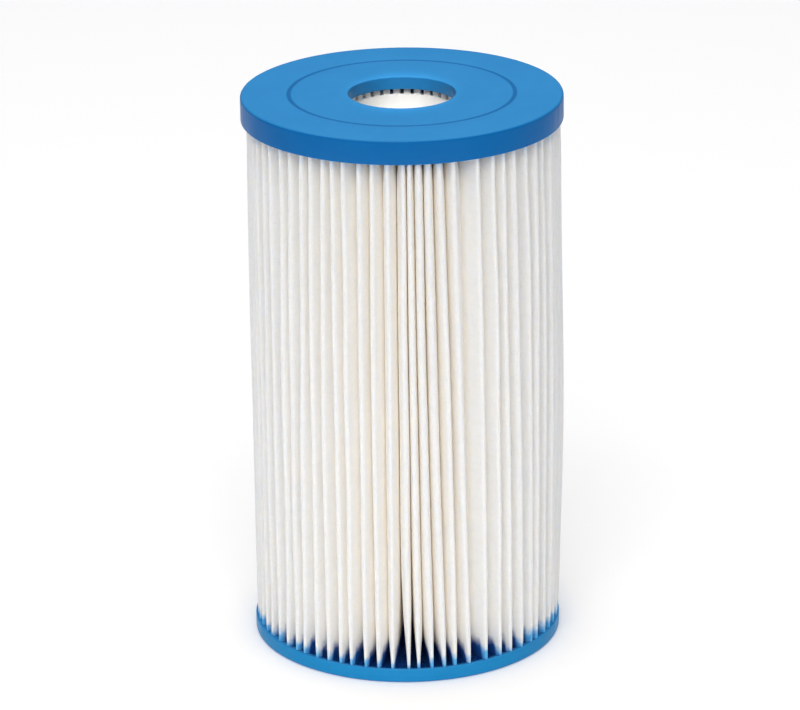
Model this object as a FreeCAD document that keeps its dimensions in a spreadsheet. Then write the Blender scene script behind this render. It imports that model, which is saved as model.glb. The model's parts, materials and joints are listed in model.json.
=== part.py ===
"""Pleated filter cartridge for a small pool pump, in millimetres.

The cartridge stands on its lower cap, +Z up, with the origin at the centre of its foot.
A long sheet of filter cloth is folded into deep pleats and closed into a ring by a glued side seam.
The ring stands round a moulded cage of two halves that snap together at mid height.
A moulded cup caps each end, and a bed of resin cast in it holds the pleats' ends and the cage.
"""

import FreeCAD, Part
import math
import os
import Sketcher
from FreeCAD import Vector

# Driving dimensions: the cell's alias, its value and its meaning.
SIZES = [
    ("overall_height", 254.0, "foot of the lower cap to the top of the upper cap"),
    ("bore_radius", 23.8, "hole through each cap, for the pump's stand pipe"),
    ("collar_wall", 1.85, "wall of the short tube round each cap's hole"),
    ("collar_depth", 5.8, "length of that tube, from the cap's outer face"),
    ("top_radius", 71.5, "upper cap"),
    ("top_skirt_height", 11.0, "upper cap's side, from its outer face"),
    ("top_skirt_wall", 1.2, "upper cap's side"),
    ("top_plate", 3.0, "upper cap's plate"),
    ("top_resin_depth", 3.0, "resin in the upper cap"),
    ("bottom_radius", 69.8, "lower cap"),
    ("bottom_skirt_height", 6.5, "lower cap's side, from its foot"),
    ("bottom_skirt_wall", 0.8, "lower cap's side"),
    ("bottom_plate", 2.0, "lower cap's plate"),
    ("bottom_resin_depth", 2.4, "resin in the lower cap"),
    ("groove_radius", 50.0, "ring groove in each cap's outer face"),
    ("groove_width", 1.4, "ring groove, at the face"),
    ("groove_depth", 0.7, "ring groove"),
    ("outer_round", 0.9, "rounding of each cap's outer rim"),
    ("bore_round", 0.5, "rounding of each hole's mouth"),
    ("skirt_round", 0.25, "rounding of each side's free edge"),
    ("pleat_count", 68, "folds round the ring, with the seam's"),
    ("pleat_outer_radius", 68.8, "tips of the outer folds"),
    ("pleat_inner_radius", 29.0, "tips of the inner folds"),
    ("cloth_thickness", 0.6, "filter cloth"),
    ("outer_fold_radius", 1.4, "middle of the cloth at an outer fold"),
    ("inner_fold_radius", 0.75, "middle of the cloth at an inner fold"),
    ("cloth_end_gap", 0.5, "resin between a cap's plate and the cloth's cut edge"),
    ("cage_inner_radius", 26.0, "cage"),
    ("cage_outer_radius", 28.4, "cage"),
    ("window_columns", 12, "windows round the cage"),
    ("window_rows", 6, "rows of windows in each half"),
    ("window_width", 10.8, "window, between two upright ribs"),
    ("window_height", 12.6, "window, between two rings"),
    ("ring_height", 4.2, "ring between two rows of windows"),
    ("slot_count", 36, "small slots round each end of the cage, which the resin grips"),
    ("slot_width", 1.8, "slot"),
    ("slot_height", 4.2, "slot, from inside the resin to its open end"),
    ("slot_reach", 2.8, "open end of a slot past the resin's free face"),
    ("joint_ring_height", 4.0, "blank ring each side of the snap joint"),
    ("joint_lap", 6.0, "overlap of the two halves"),
    ("socket_radius", 27.15, "inside of the lower half's socket"),
    ("spigot_radius", 27.05, "outside of the upper half's spigot"),
    ("spigot_end_gap", 0.2, "play under the spigot's end"),
    ("snap_height", 0.3, "snap bead out from the spigot, and its groove in the socket"),
    ("bead_half_height", 1.0, "snap bead, up and down from its crest"),
    ("groove_half_height", 1.2, "groove for the bead, up and down from its deepest line"),
]

doc = FreeCAD.newDocument("filter_cartridge")
sheet = doc.addObject("Spreadsheet::Sheet", "Sizes")


def fill_sheet():
    """Writes each driving dimension to a row of the sheet: its name, value and meaning."""
    for row, (alias, value, meaning) in enumerate(SIZES, start=1):
        sheet.set(f"A{row}", alias)
        sheet.set(f"B{row}", str(value))
        sheet.setAlias(f"B{row}", alias)
        sheet.set(f"C{row}", meaning)
    doc.recompute()


def size(alias):
    """A driving dimension's value, for shapes that code works out."""
    return float(sheet.get(alias))


# ---------------------------------------------------------------- formulas
# A formula is a sum of products of numbers and cells, such as "@overall_height - 0.5 * @joint_lap".


def expression(formula):
    """The formula as an expression that other objects can be bound to."""
    return formula.replace("@", "Sizes.")


def value(formula):
    """The formula's value now, where code needs a number."""
    total = 0.0
    for term in formula.replace("- ", "+ -").split("+"):
        product = 1.0
        for factor in term.split("*"):
            word = factor.strip()
            if word.startswith("-@"):
                product = -product
                word = word[1:]
            product *= size(word[1:]) if word.startswith("@") else float(word)
        total += product
    return total


# ---------------------------------------------------------------- sketches and features


def new_body(label):
    body = doc.addObject("PartDesign::Body", label)
    body.Label = label
    return body


def new_sketch(body, name):
    """A sketch on the body's upright plane, where x is the radius and y is the height."""
    sketch = body.newObject("Sketcher::SketchObject", name)
    plane = next(p for p in body.Origin.OriginFeatures if p.Role == "XZ_Plane")
    sketch.AttachmentSupport = [(plane, "")]
    sketch.MapMode = "FlatFace"
    return sketch


def add_outline(sketch, corners):
    """Draws a closed outline of straight lines, each corner held by a formula for x and one for y."""
    first = sketch.GeometryCount
    count = len(corners)
    points = [Vector(value(x), value(y), 0) for x, y in corners]
    for i in range(count):
        line = Part.LineSegment(points[i], points[(i + 1) % count])
        sketch.addGeometry(line, False)
    for i in range(count):
        following = first + (i + 1) % count
        sketch.addConstraint(Sketcher.Constraint("Coincident", first + i, 2, following, 1))
    for i, (x, y) in enumerate(corners):
        hold_start(sketch, first + i, "DistanceX", x)
        hold_start(sketch, first + i, "DistanceY", y)


def hold_start(sketch, line, kind, formula):
    """Holds a line's start at the formula's distance from the sketch's origin along one axis."""
    if formula == "0":
        sketch.addConstraint(Sketcher.Constraint("PointOnObject", line, 1, -1))
        return
    held = Sketcher.Constraint(kind, -1, 1, line, 1, value(formula))
    index = sketch.addConstraint(held)
    name = f"{kind}_{line}"
    sketch.renameConstraint(index, name)
    sketch.setExpression(f"Constraints.{name}", expression(formula))


def revolve(body, name, corners):
    """Turns an outline once round the upright axis."""
    sketch = new_sketch(body, f"{name}_profile")
    add_outline(sketch, corners)
    turned = body.newObject("PartDesign::Revolution", name)
    turned.Profile = sketch
    turned.ReferenceAxis = (sketch, ["V_Axis"])
    turned.Angle = 360
    doc.recompute()
    return turned


def round_ring(body, name, base, ring, radius):
    """Rounds the one circular edge that lies at the given radius and height."""
    place = [value(formula) for formula in ring]
    found = [
        f"Edge{number}"
        for number, edge in enumerate(base.Shape.Edges, start=1)
        if isinstance(edge.Curve, Part.Circle)
        and math.dist((edge.Curve.Radius, edge.Curve.Center.z), place) < 1e-4
    ]
    if len(found) != 1:
        raise RuntimeError(f"{name}: {len(found)} edges found")
    fillet = body.newObject("PartDesign::Fillet", name)
    fillet.Base = (base, found)
    fillet.setExpression("Radius", expression(radius))
    doc.recompute()
    return fillet


# ---------------------------------------------------------------- end caps


def end_cap(label, side, height):
    """A shallow cup with a hole, a short collar round it and a ring groove in the outer face.

    side is "top" or "bottom", for the cells' names, and height(depth) is the formula for the
    height that lies that far in from the cap's outer face.
    """
    radius = f"@{side}_radius"
    inside = f"{radius} - @{side}_skirt_wall"
    collar = "@bore_radius + @collar_wall"
    face = height("")
    rim = height(f"@{side}_skirt_height")
    floor = height(f"@{side}_plate")
    collar_end = height("@collar_depth")
    corners = [
        ("@bore_radius", face),
        ("@groove_radius - 0.5 * @groove_width", face),
        ("@groove_radius", height("@groove_depth")),
        ("@groove_radius + 0.5 * @groove_width", face),
        (radius, face),
        (radius, rim),
        (inside, rim),
        (inside, floor),
        (collar, floor),
        (collar, collar_end),
        ("@bore_radius", collar_end),
    ]
    body = new_body(label)
    cup = revolve(body, f"{label}_cup", corners)
    cup = round_ring(body, f"{label}_outer_round", cup, (radius, face), "@outer_round")
    cup = round_ring(body, f"{label}_bore_round", cup, ("@bore_radius", face), "@bore_round")
    round_ring(body, f"{label}_skirt_round", cup, (radius, rim), "@skirt_round")
    return body


def from_top(depth):
    return f"@overall_height - {depth}" if depth else "@overall_height"


def from_foot(depth):
    return depth or "0"


# ---------------------------------------------------------------- cage


def cut_round(body, name, windows, count, half_width):
    """Cuts a column of windows through the body's wall, and repeats it all round.

    windows holds each window's lowest and highest height, and half_width is half its width.
    """
    before = body.Tip.Shape.Volume
    sketch = new_sketch(body, f"{name}_outline")
    for low, high in windows:
        left = f"-{half_width}"
        add_outline(sketch, [(left, low), (half_width, low), (half_width, high), (left, high)])
    column = body.newObject("PartDesign::Pocket", f"{name}_column")
    column.Profile = sketch
    column.Type = "Length"
    column.setExpression("Length", expression("2 * @cage_outer_radius"))
    doc.recompute()
    around = body.newObject("PartDesign::PolarPattern", f"{name}_around")
    around.Originals = [column]
    around.Axis = (sketch, ["V_Axis"])
    around.Angle = 360
    around.setExpression("Occurrences", expression(count))
    body.Tip = around
    doc.recompute()
    openings = value(count) * len(windows)
    if before - around.Shape.Volume < 0.9 * openings * (before - column.Shape.Volume) / len(windows):
        raise RuntimeError(f"{name}: the pattern isn't cut")


def cage_half(label, corners, lowest_window, slot_low):
    """One half of the cage: a turned tube with rows of windows cut all round it, and end slots."""
    body = new_body(label)
    revolve(body, f"{label}_tube", corners)
    windows = []
    for row in range(int(size("window_rows"))):
        low = f"{lowest_window} + {row} * @window_height + {row} * @ring_height"
        windows.append((low, f"{low} + @window_height"))
    cut_round(body, f"{label}_windows", windows, "@window_columns", "0.5 * @window_width")
    slots = [(slot_low, f"{slot_low} + @slot_height")]
    cut_round(body, f"{label}_slots", slots, "@slot_count", "0.5 * @slot_width")
    return body


def cage_halves():
    """The lower half ends in a socket, and the upper half in a spigot with a snap bead round it."""
    inner = "@cage_inner_radius"
    outer = "@cage_outer_radius"
    middle = "0.5 * @overall_height"
    lap_low = f"{middle} - 0.5 * @joint_lap"
    lap_high = f"{middle} + 0.5 * @joint_lap"
    spigot_end = f"{lap_low} + @spigot_end_gap"
    foot = "@bottom_plate"
    head = "@overall_height - @top_plate"
    below_joint = f"{lap_low} - @joint_ring_height + @ring_height"
    lower_windows = f"{below_joint} - @window_rows * @window_height - @window_rows * @ring_height"
    lower = cage_half(
        "cage_lower_half",
        [
            (inner, foot),
            (outer, foot),
            (outer, lap_high),
            ("@socket_radius", lap_high),
            ("@socket_radius", f"{middle} + @groove_half_height"),
            ("@socket_radius + @snap_height", middle),
            ("@socket_radius", f"{middle} - @groove_half_height"),
            ("@socket_radius", lap_low),
            (inner, lap_low),
        ],
        lower_windows,
        "@bottom_plate + @bottom_resin_depth + @slot_reach - @slot_height",
    )
    upper = cage_half(
        "cage_upper_half",
        [
            (inner, spigot_end),
            ("@spigot_radius", spigot_end),
            ("@spigot_radius", f"{middle} - @bead_half_height"),
            ("@spigot_radius + @snap_height", middle),
            ("@spigot_radius", f"{middle} + @bead_half_height"),
            ("@spigot_radius", lap_high),
            (outer, lap_high),
            (outer, head),
            (inner, head),
        ],
        f"{lap_high} + @joint_ring_height",
        "@overall_height - @top_plate - @top_resin_depth - @slot_reach",
    )
    return [lower, upper]


# ---------------------------------------------------------------- pleated cloth and its seam


def ray(angle):
    return Vector(math.cos(angle), math.sin(angle), 0)


class PleatSection:
    """The folded cloth seen end on: an arc at each fold, and straight legs tangent to the arcs.

    The seam stands at the back, on +Y, where the sheet's two end legs are parallel.
    """

    SEAM_ANGLE = math.pi / 2

    def __init__(self):
        self.count = int(size("pleat_count"))
        self.pitch = 2 * math.pi / self.count
        self.half_cloth = size("cloth_thickness") / 2
        self.outer_fold = size("outer_fold_radius")
        self.inner_fold = size("inner_fold_radius")
        self.outer_centre = size("pleat_outer_radius") - self.half_cloth - self.outer_fold
        self.inner_centre = size("pleat_inner_radius") + self.half_cloth + self.inner_fold
        self.leg_turn = self.find_leg_turn()
        self.half_seam = (
            self.inner_centre * math.sin(self.pitch / 2) - self.inner_fold - self.half_cloth
        )

    def find_leg_turn(self):
        """The angle from an outer fold's ray to the normal of the leg on its far side."""
        across = ray(self.pitch / 2) * self.inner_centre - ray(0) * self.outer_centre
        tilt = math.asin((self.outer_fold + self.inner_fold) / across.Length)
        return math.atan2(across.y, across.x) + tilt - math.pi / 2

    def fold(self, centre, arrive, middle, leave, radius):
        """A fold's arc, from the normal of the leg before it to the normal of the leg after it."""
        points = [centre + normal * radius for normal in (arrive, middle, leave)]
        return Part.Arc(*points).toShape(), points[0], points[-1]

    def inner_arc(self, index, radius):
        angle = self.SEAM_ANGLE + (index + 0.5) * self.pitch
        before = ray(angle - self.pitch / 2 + self.leg_turn)
        after = ray(angle + self.pitch / 2 - self.leg_turn)
        if index == 0:
            before = Vector(-1, 0, 0)
        if index == self.count - 1:
            after = Vector(1, 0, 0)
        centre = ray(angle) * self.inner_centre
        return self.fold(centre, -before, -ray(angle), -after, radius)

    def outer_arc(self, index, radius):
        angle = self.SEAM_ANGLE + index * self.pitch
        before = ray(angle - self.leg_turn)
        after = ray(angle + self.leg_turn)
        centre = ray(angle) * self.outer_centre
        return self.fold(centre, before, ray(angle), after, radius)

    def side(self, sign):
        """One face of the cloth, from one end leg all round to the other.

        sign is 1 for the face outside the outer folds, and -1 for the face inside them.
        """
        seam = self.half_seam + self.half_cloth * (1 + sign)
        reach = size("pleat_outer_radius") - self.outer_fold
        first = Vector(-seam, reach, 0)
        last = Vector(seam, reach, 0)
        edges = []
        pen = first
        for index in range(self.count):
            arcs = [self.inner_arc(index, self.inner_fold - sign * self.half_cloth)]
            if index < self.count - 1:
                arcs.append(self.outer_arc(index + 1, self.outer_fold + sign * self.half_cloth))
            for arc, start, end in arcs:
                edges.append(Part.LineSegment(pen, start).toShape())
                edges.append(arc)
                pen = end
        edges.append(Part.LineSegment(pen, last).toShape())
        return edges, first, last

    def face(self):
        outside, outside_first, outside_last = self.side(1)
        inside, inside_first, inside_last = self.side(-1)
        cut_edges = [
            Part.LineSegment(outside_first, inside_first).toShape(),
            Part.LineSegment(outside_last, inside_last).toShape(),
        ]
        loop = Part.Wire(Part.__sortEdges__(outside + inside + cut_edges))
        return Part.Face(loop)


CLOTH_FOOT = "@bottom_plate + @cloth_end_gap"
CLOTH_HEIGHT = "@overall_height - @top_plate - @bottom_plate - 2 * @cloth_end_gap"


def pleated_media():
    """The folded cloth: its section, drawn out along the cartridge."""
    section = doc.addObject("Part::Feature", "pleat_section")
    section.Shape = PleatSection().face()
    section.Placement.Base.z = value(CLOTH_FOOT)
    media = doc.addObject("Part::Extrusion", "pleated_media")
    media.Label = "pleated_media"
    media.Base = section
    media.DirMode = "Custom"
    media.Dir = Vector(0, 0, 1)
    media.Solid = True
    media.setExpression("LengthFwd", expression(CLOTH_HEIGHT))
    doc.recompute()
    return media


def side_seam():
    """The strip of glue between the sheet's two end legs."""
    fold_centre = "(@pleat_inner_radius + 0.5 * @cloth_thickness + @inner_fold_radius)"
    half = f"{fold_centre} * sin(180 deg / @pleat_count) - @inner_fold_radius - 0.5 * @cloth_thickness"
    start = "@pleat_inner_radius + @cloth_thickness + 2 * @inner_fold_radius"
    strip = doc.addObject("Part::Box", "side_seam")
    strip.Label = "side_seam"
    strip.setExpression("Length", expression(f"2 * ({half})"))
    strip.setExpression("Width", expression(f"@pleat_outer_radius - @outer_fold_radius - ({start})"))
    strip.setExpression("Height", expression(CLOTH_HEIGHT))
    strip.setExpression("Placement.Base.x", expression(f"-1 * ({half})"))
    strip.setExpression("Placement.Base.y", expression(start))
    strip.setExpression("Placement.Base.z", expression(CLOTH_FOOT))
    doc.recompute()
    return strip


# ---------------------------------------------------------------- resin beds


def resin_bed(label, side, low, media, seam):
    """A flat ring of cast resin between the cage and a cap's side, shaped round the cloth's ends."""
    disc = doc.addObject("Part::Cylinder", f"{label}_disc")
    disc.setExpression("Radius", expression(f"@{side}_radius - @{side}_skirt_wall"))
    hole = doc.addObject("Part::Cylinder", f"{label}_hole")
    hole.setExpression("Radius", expression("@cage_outer_radius"))
    for blank in (disc, hole):
        blank.setExpression("Height", expression(f"@{side}_resin_depth"))
        blank.setExpression("Placement.Base.z", expression(low))
    made = disc
    for tool in (hole, media, seam):
        cut = doc.addObject("Part::Cut", f"{label}_less_{tool.Name}")
        cut.Base = made
        cut.Tool = tool
        made = cut
    made.Label = label
    doc.recompute()
    return made


# ---------------------------------------------------------------- check and export


def check(parts):
    """Stops on any failed object, and on any sub-part that isn't a sound solid."""
    for item in doc.Objects:
        if {"Invalid", "Error"} & set(item.State):
            raise RuntimeError(f"{item.Label} failed: {item.State}")
    for part in parts:
        shape = part.Shape
        if shape.isNull() or not shape.isValid() or len(shape.Solids) != 1:
            raise RuntimeError(f"{part.Label} isn't one sound solid")
        box = shape.optimalBoundingBox()
        volume = shape.Volume / 1000
        print(f"{part.Label:17s} {volume:7.1f} cm3, z {box.ZMin:6.2f} to {box.ZMax:6.2f}")


def export(parts):
    os.makedirs("parts", exist_ok=True)
    for part in parts:
        part.Shape.exportStep(f"parts/{part.Label}.step")


def main():
    fill_sheet()
    media = pleated_media()
    seam = side_seam()
    top_resin = "@overall_height - @top_plate - @top_resin_depth"
    parts = [
        end_cap("end_cap_top", "top", from_top),
        end_cap("end_cap_bottom", "bottom", from_foot),
        *cage_halves(),
        media,
        seam,
        resin_bed("resin_bed_top", "top", top_resin, media, seam),
        resin_bed("resin_bed_bottom", "bottom", "@bottom_plate", media, seam),
    ]
    doc.recompute()
    check(parts)
    export(parts)


main()
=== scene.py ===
"""Looks of a pleated filter cartridge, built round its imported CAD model.

Lengths are in millimetres until a mesh is made. Meshes, lights, the camera and the materials'
coordinates are in metres. phi is the angle round the cartridge's axis, from the front (-Y) towards
the right (+X).
"""

import json
import math

import bpy
import numpy as np
from mathutils import Euler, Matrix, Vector


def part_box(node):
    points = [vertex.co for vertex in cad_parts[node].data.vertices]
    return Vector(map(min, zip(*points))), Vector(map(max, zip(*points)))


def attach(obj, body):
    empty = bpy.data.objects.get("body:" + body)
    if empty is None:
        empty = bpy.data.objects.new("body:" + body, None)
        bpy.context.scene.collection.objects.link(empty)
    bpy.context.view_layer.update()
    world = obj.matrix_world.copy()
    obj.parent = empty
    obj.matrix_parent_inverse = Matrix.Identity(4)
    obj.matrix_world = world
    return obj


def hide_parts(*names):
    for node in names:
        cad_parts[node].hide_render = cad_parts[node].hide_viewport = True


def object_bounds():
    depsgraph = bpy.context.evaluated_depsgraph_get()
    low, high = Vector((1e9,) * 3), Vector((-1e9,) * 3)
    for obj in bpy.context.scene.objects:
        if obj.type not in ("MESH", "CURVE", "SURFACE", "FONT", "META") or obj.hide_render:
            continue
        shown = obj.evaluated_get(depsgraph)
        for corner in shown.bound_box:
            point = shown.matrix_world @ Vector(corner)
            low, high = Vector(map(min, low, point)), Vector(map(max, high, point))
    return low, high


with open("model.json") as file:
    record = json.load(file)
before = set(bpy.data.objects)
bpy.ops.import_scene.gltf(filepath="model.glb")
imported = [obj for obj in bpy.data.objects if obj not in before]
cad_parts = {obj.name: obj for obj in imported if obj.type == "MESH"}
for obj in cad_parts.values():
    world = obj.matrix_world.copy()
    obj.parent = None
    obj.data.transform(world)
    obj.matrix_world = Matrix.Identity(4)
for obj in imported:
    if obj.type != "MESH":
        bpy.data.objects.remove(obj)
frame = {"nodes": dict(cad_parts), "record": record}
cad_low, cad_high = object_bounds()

MM = 0.001  # metres in a millimetre
SEED = 7  # of every random number here

# ------------ sizes read from the frame


def node_box(name):
    """A node's lowest and highest corner, in millimetres."""
    low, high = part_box(name)
    return np.array(low) / MM, np.array(high) / MM


def node_heights(name):
    """A node's lowest and highest height, in millimetres."""
    low, high = node_box(name)
    return low[2], high[2]


def node_radii(name):
    """A node's smallest and largest distance from the axis, in millimetres."""
    mesh = frame["nodes"][name].data
    points = np.empty(len(mesh.vertices) * 3)
    mesh.vertices.foreach_get("co", points)
    radii = np.hypot(*points.reshape(-1, 3)[:, :2].T) / MM
    return radii.min(), radii.max()


HEIGHT = cad_high.z / MM
BORE_RADIUS = frame["record"]["mounts"][0]["dims"]["r_mm"]

# The caps are cups: a rim is a cup's open end.
TOP_RADIUS = node_radii("end_cap_top")[1]
TOP_RIM = node_heights("end_cap_top")[0]
BOTTOM_RADIUS = node_radii("end_cap_bottom")[1]
BOTTOM_RIM = node_heights("end_cap_bottom")[1]

# A bed of resin fills each cup, from the cap's plate to the resin's free face.
TOP_CUP_RADIUS = node_radii("resin_bed_top")[1]
TOP_RESIN, TOP_PLATE = node_heights("resin_bed_top")
BOTTOM_CUP_RADIUS = node_radii("resin_bed_bottom")[1]
BOTTOM_PLATE, BOTTOM_RESIN = node_heights("resin_bed_bottom")

CLOTH_INNER, CLOTH_OUTER = node_radii("pleated_media")
CLOTH_LOW, CLOTH_HIGH = node_heights("pleated_media")

# The cage's two halves overlap at their joint.
CAGE_INNER, CAGE_OUTER = node_radii("cage_lower_half")
CAGE_FOOT, CAGE_JOINT_HIGH = node_heights("cage_lower_half")
CAGE_JOINT_LOW, CAGE_HEAD = node_heights("cage_upper_half")

# The seam stands at the back, on the +Y side: half its thickness, and where it starts and ends.
SEAM_HALF = node_box("side_seam")[1][0]
SEAM_START = node_box("side_seam")[0][1]
SEAM_REACH = node_box("side_seam")[1][1]

# ------------ the cloth's own sizes

PLEATS = 68
CLOTH = 0.6  # thickness
ROOT_FOLD = 0.75  # half width of an inner fold, at the middle of the cloth
TIP_POTTED = 0.36  # half width of an outer fold where the resin holds it
TIP_FREE = (0.85, 1.3)  # half width of an outer fold at mid height, narrowest and widest
TIP_GAP = 0.9  # least gap left between neighbouring folds
SPREAD_ROUNDS = 60  # rounds of pushing crowded folds apart
TIP_DEPTH = 1.6  # an outer fold's depth over its half width
BELLY_AT = 0.78  # where along its legs a fold is widest: 0 is the inner folds, 1 the outer
BELLY_GAP = (0.03, 0.25)  # gap left between the widest places of neighbours, narrowest and widest
BOW = 1.6  # how far the legs bow sideways, half way along
BOW_TURNS = 1.5  # waves of that round the ring
BULGE = 1.4  # how much further out the folds stand at mid height
BULGE_POWER = 0.5  # how slowly they draw in from there: less is a flatter middle
BULGE_ASIDE = 0.6  # share by which they bulge more at the right, and less at the left
OPENING_FOOT = (8.5, 12.0)  # height over which a gap between folds closes above the lower resin
OPENING_HEAD = 8.0  # and below the upper resin
OPENING_POWER = 1.5  # how suddenly it does
REACH_UNEVEN = 0.25  # how unevenly far out the folds stand
REACH_WAVE = (0.2, 1.5)  # a slow wave in that: its size, and its turns over the cloth's height
SEAM_CALM = 3  # folds over which the unevenness dies away towards the seam

# How unevenly the outer folds' angles lie, in degrees: at the foot, at the top, at mid height, and
# in a slow wave, with its turns over the cloth's height.
DRIFT_FOOT = 0.5
DRIFT_TOP = 0.55
DRIFT_MIDDLE = 0.5
DRIFT_WAVE = (0.12, 2.5)

# The cloth's mesh.
TIP_POINTS = 7  # points round an outer fold
LEG_SHARES = (0, 0.32, 0.56, 0.72, 0.84, 0.93)  # where a leg has points, besides its outer fold's
ROOT_POINTS = 3  # points on an inner fold, between its legs
FOOT_ZONE = (32, 11)  # height above the cloth's foot with rows close together, and its rows
HEAD_ZONE = (30, 10)  # the same below its top
MIDDLE_ROWS = 12  # rows between the two zones
ROW_GROWTH = 1.4  # how quickly a zone's rows draw apart

# Gaps that close more slowly above the lower resin: where in degrees, and the height they take.
TALL_GAPS = ((-18, 17), (-2.5, 27), (1.8, 32), (7, 15), (11, 19), (40, 18))

# Stretches of the ring where the outer folds stand aside from their even places, in degrees: where,
# how far that reaches to the left and to the right, and how far aside at the foot and at the top.
ASIDE = (
    (24, 17, 8, -3.0, -8.8),
    (41, 6, 16, 0.6, -3.6),
    (-42, 14, 14, 0.8, 2.2),
    (105, 22, 14, 2.0, -2.5),
    (-120, 18, 24, -2.2, 1.8),
    (160, 12, 14, -1.5, 1.2),
)
ASIDE_POWER = 0.85  # how early on the way up the foot's place gives way to the top's
SHARP = 50  # degrees by which a sharp edge turns at least


# ------------ small helpers


def smooth(t):
    """A soft step: 0 where t is 0 or less, and 1 where it is 1 or more."""
    t = np.clip(t, 0, 1)
    return t * t * (3 - 2 * t)


def link(obj):
    """Puts a new object in the scene."""
    bpy.context.scene.collection.objects.link(obj)
    return obj


def mesh_object(name, points, faces, uv=None, shade_smooth=True):
    """A mesh object from points in millimetres. uv is each point's pair of texture coordinates."""
    mesh = bpy.data.meshes.new(name)
    mesh.from_pydata((np.asarray(points) * MM).tolist(), [], faces)
    if uv is not None:
        layer = mesh.uv_layers.new(name="UVMap")
        loops = np.empty(len(mesh.loops), int)
        mesh.loops.foreach_get("vertex_index", loops)
        layer.data.foreach_set("uv", np.asarray(uv, np.float32)[loops].ravel())
    if shade_smooth:
        mesh.shade_smooth()
    mesh.validate()
    mesh.update()
    return link(bpy.data.objects.new(name, mesh))


def polar(radius, phi):
    """x and y of a place at a radius and an angle round the axis."""
    return radius * np.sin(phi), -radius * np.cos(phi)


def grid_faces(rows, columns, closed_rows=False, closed_columns=False):
    """Quads of a grid of points stored row by row."""
    faces = []
    for i in range(rows if closed_rows else rows - 1):
        for j in range(columns if closed_columns else columns - 1):
            k = (j + 1) % columns
            below = i * columns
            above = ((i + 1) % rows) * columns
            faces.append((below + j, below + k, above + k, above + j))
    return faces


def apply_modifiers(obj):
    """Makes what the modifiers show the object's own mesh."""
    graph = bpy.context.evaluated_depsgraph_get()
    made = bpy.data.meshes.new_from_object(obj.evaluated_get(graph))
    obj.modifiers.clear()
    obj.data = made


def sharpen(obj, degrees=SHARP):
    """Marks the edges that turn by more than this angle as sharp."""
    obj.data.set_sharp_from_angle(angle=math.radians(degrees))


# ------------ materials


class Nodes:
    """A material's node tree, with short calls to add and join nodes."""

    def __init__(self, name):
        self.material = bpy.data.materials.new(name)
        self.material.use_nodes = True
        self.tree = self.material.node_tree
        self.shader = self.tree.nodes["Principled BSDF"]

    def add(self, kind, inputs=None, **settings):
        """A new node with its settings. inputs are by name or, where names repeat, by number."""
        node = self.tree.nodes.new(kind)
        for key, value in settings.items():
            setattr(node, key, value)
        for key, value in (inputs or {}).items():
            self.put(node.inputs[key], value)
        return node

    def put(self, socket, value):
        """Links another node's output to a socket, or sets the socket's own value."""
        if isinstance(value, bpy.types.NodeSocket):
            self.tree.links.new(value, socket)
        else:
            socket.default_value = value

    def coordinates(self, kind):
        """Texture coordinates: Object ones are in metres, and UV ones lie flat on the cloth."""
        return self.add("ShaderNodeTexCoord").outputs[kind]

    def noise(self, vector, scale, detail=3.0, roughness=0.5):
        """Noise, mostly between 0.3 and 0.7. scale is its blotches per metre."""
        inputs = {"Vector": vector, "Scale": scale, "Detail": detail, "Roughness": roughness}
        return self.add("ShaderNodeTexNoise", inputs).outputs["Fac"]

    def stretch(self, vector, scale):
        """Coordinates scaled differently along each axis."""
        return self.add("ShaderNodeMapping", {"Vector": vector, "Scale": scale}).outputs["Vector"]

    def remap(self, value, low, high, to_low, to_high):
        """A value's range from low to high, carried softly over to another range."""
        names = ("Value", "From Min", "From Max", "To Min", "To Max")
        inputs = dict(zip(names, (value, low, high, to_low, to_high)))
        node = self.add("ShaderNodeMapRange", inputs, interpolation_type="SMOOTHSTEP")
        return node.outputs["Result"]

    def maths(self, operation, first, second=0.0):
        """An operation on two numbers. Some need only the first."""
        inputs = {0: first, 1: second}
        return self.add("ShaderNodeMath", inputs, operation=operation).outputs["Value"]

    def mix(self, factor, first, second):
        """A mix of two colours."""
        inputs = {"Factor": factor, 6: first, 7: second}
        return self.add("ShaderNodeMix", inputs, data_type="RGBA").outputs[2]

    def blend(self, factor, first, second):
        """A mix of two numbers."""
        inputs = {"Factor": factor, 2: first, 3: second}
        return self.add("ShaderNodeMix", inputs, data_type="FLOAT").outputs[0]

    def upright(self, vector):
        """A vector's Z."""
        return self.add("ShaderNodeSeparateXYZ", {"Vector": vector}).outputs["Z"]

    def from_axis(self, vector):
        """Distance from the upright axis."""
        plan = self.stretch(vector, (1, 1, 0))
        node = self.add("ShaderNodeVectorMath", {"Vector": plan}, operation="LENGTH")
        return node.outputs["Value"]

    def bump(self, height, distance, strength, normal=None):
        """A normal that shows a height as relief, distance deep, on top of another normal."""
        inputs = {"Height": height, "Distance": distance, "Strength": strength}
        if normal is not None:
            inputs["Normal"] = normal
        return self.add("ShaderNodeBump", inputs).outputs["Normal"]

    def set(self, **values):
        """Sets or links the shader's sockets. A name's underscores stand for spaces."""
        for key, value in values.items():
            self.put(self.shader.inputs[key.replace("_", " ")], value)


SOAKED_TIP = (0.1, 0.42, 0.8, 1)  # where resin has soaked into an outer fold; at half strength just below the upper cap it is painted shade
SOAKED_LEG_AND_SHADE = (0.008, 0.085, 0.34, 1)  # and further in: soaking darkened to deep navy, which is painted shade in the gaps between the folds
PAINTED_LIT_FACE_BLUES = ((0.026, 0.23, 0.53, 1), (0.034, 0.265, 0.59, 1))  # of the caps' flat faces: paler than the sides as painted light and sheen


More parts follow.
